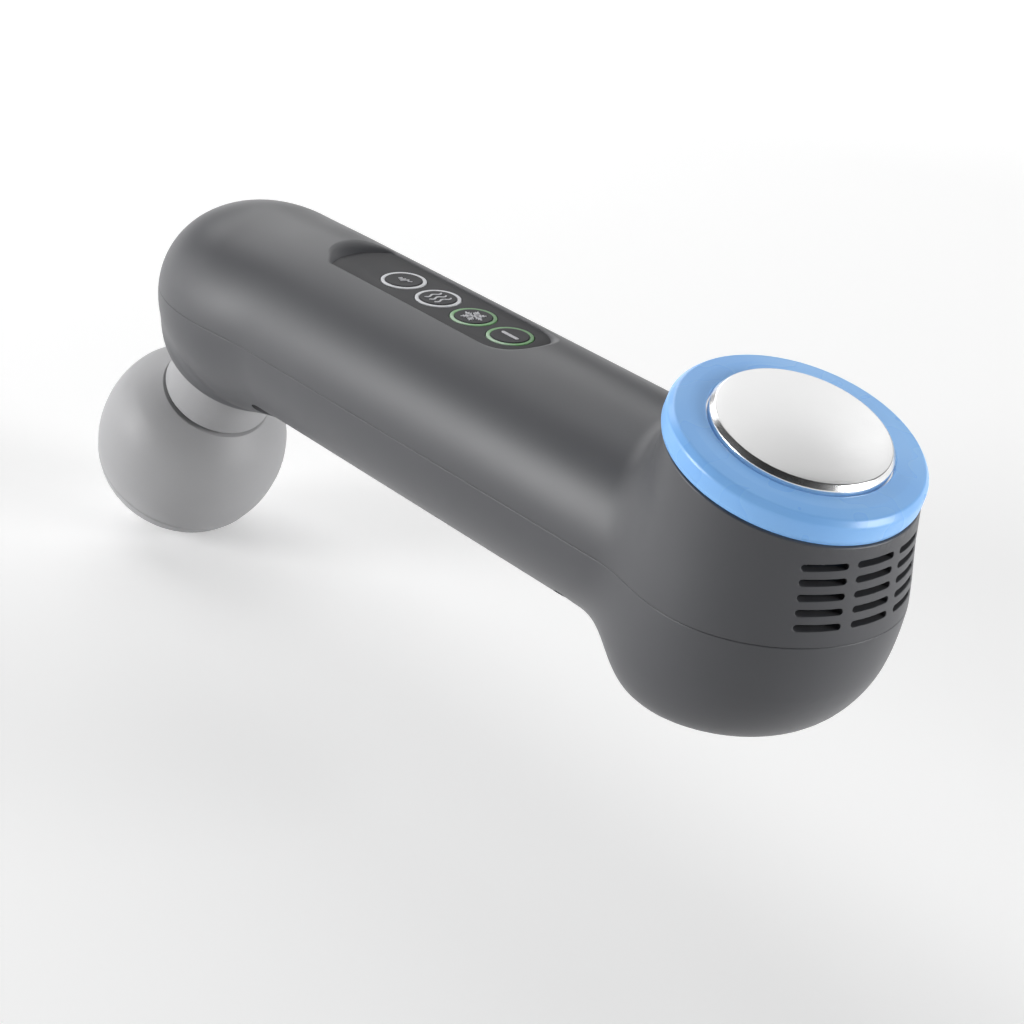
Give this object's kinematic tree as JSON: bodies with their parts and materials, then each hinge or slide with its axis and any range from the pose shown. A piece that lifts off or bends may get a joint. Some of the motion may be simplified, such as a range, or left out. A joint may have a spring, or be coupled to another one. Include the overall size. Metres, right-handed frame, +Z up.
{
  "type": "handheld vibration massager",
  "caption": "Handheld massager: a grip with a leaning ball head that shakes at one end, a hot and cold metal plate with a light ring at the other, and a row of push buttons between.",
  "frame": {"origin": "middle of the object's length and width, on the level of the ball's lowest point with the handle level", "axes": "+X along the handle from the ball head to the metal plate, +Z up through the control panel's face, +Y across"},
  "size_m": [0.2345, 0.051, 0.1049],
  "materials": {
    "housing_plastic": "satin moulded plastic",
    "ball_plastic": "satin moulded plastic",
    "panel_plastic": "matte moulded plastic",
    "light_ring_white": "lit diffuser",
    "light_ring_green": "lit diffuser",
    "light_guide_blue": "lit translucent plastic",
    "plate_metal": "satin polished steel",
    "screw_steel": "plated steel",
    "rubber": "matte",
    "circuit_board": "solder mask",
    "ceramic": "fired ceramic",
    "thermal_pad_grey": "matte",
    "aluminium": "mill finish",
    "inner_plastic": "matte",
    "cell_wrap": "shrink wrap",
    "weight_brass": "machined"
  },
  "bodies": {
    "housing": {"upper_shell": "housing_plastic", "lower_shell": "housing_plastic", "control_panel": "panel_plastic", "mode_light_ring": "light_ring_white", "heat_light_ring": "light_ring_white", "cool_light_ring": "light_ring_green", "power_light_ring": "light_ring_green", "mode_switch": "inner_plastic", "heat_switch": "inner_plastic", "cool_switch": "inner_plastic", "power_switch": "inner_plastic", "button_board": "circuit_board", "battery_cell": "cell_wrap", "battery_cradle": "inner_plastic", "main_board": "circuit_board", "charge_board": "circuit_board", "usb_socket": "screw_steel", "light_guide": "light_guide_blue", "led_board": "circuit_board", "contact_plate": "plate_metal", "thermal_pad": "thermal_pad_grey", "peltier_module": "ceramic", "heat_sink": "aluminium", "plate_carrier": "inner_plastic", "fan_frame": "inner_plastic", "collar": "ball_plastic", "damper_bush": "rubber", "case_screw_1": "screw_steel", "case_screw_2": "screw_steel", "case_screw_3": "screw_steel", "case_screw_4": "screw_steel"},
    "mode_button": {"button_mode": "panel_plastic"},
    "heat_button": {"button_heat": "panel_plastic"},
    "cool_button": {"button_cool": "panel_plastic"},
    "power_button": {"button_power": "panel_plastic"},
    "ball_head": {"ball_shell": "ball_plastic", "motor_mount": "inner_plastic", "vibration_motor": "aluminium"},
    "shaker_weight": {"eccentric_weight": "weight_brass"},
    "fan": {"fan_rotor": "inner_plastic"}
  },
  "joints": [
    {"name": "mode_press", "type": "slide", "parent": "housing", "child": "mode_button", "axis": [0, 0, -1], "range_m": [0, 0.0006], "stiffness_N_per_m": 600, "springref_m": -0.001},
    {"name": "heat_press", "type": "slide", "parent": "housing", "child": "heat_button", "axis": [0, 0, -1], "range_m": [0, 0.0006], "stiffness_N_per_m": 600, "springref_m": -0.001},
    {"name": "cool_press", "type": "slide", "parent": "housing", "child": "cool_button", "axis": [0, 0, -1], "range_m": [0, 0.0006], "stiffness_N_per_m": 600, "springref_m": -0.001},
    {"name": "power_press", "type": "slide", "parent": "housing", "child": "power_button", "axis": [0, 0, -1], "range_m": [0, 0.0006], "stiffness_N_per_m": 600, "springref_m": -0.001},
    {"name": "head_shake", "type": "hinge", "parent": "housing", "child": "ball_head", "pos_m": [-0.08483, 0, 0.03844], "axis": [0, 1, 0], "range_deg": [-1.5, 1.5], "stiffness_Nm_per_rad": 2},
    {"name": "weight_spin", "type": "hinge", "parent": "ball_head", "child": "shaker_weight", "pos_m": [-0.09466, 0, 0.0224], "axis": [0, 1, 0], "continuous": true},
    {"name": "fan_spin", "type": "hinge", "parent": "housing", "child": "fan", "pos_m": [0.08909, 0, 0.0803], "axis": [0.2706, 0, 0.9627], "continuous": true}
  ]
}
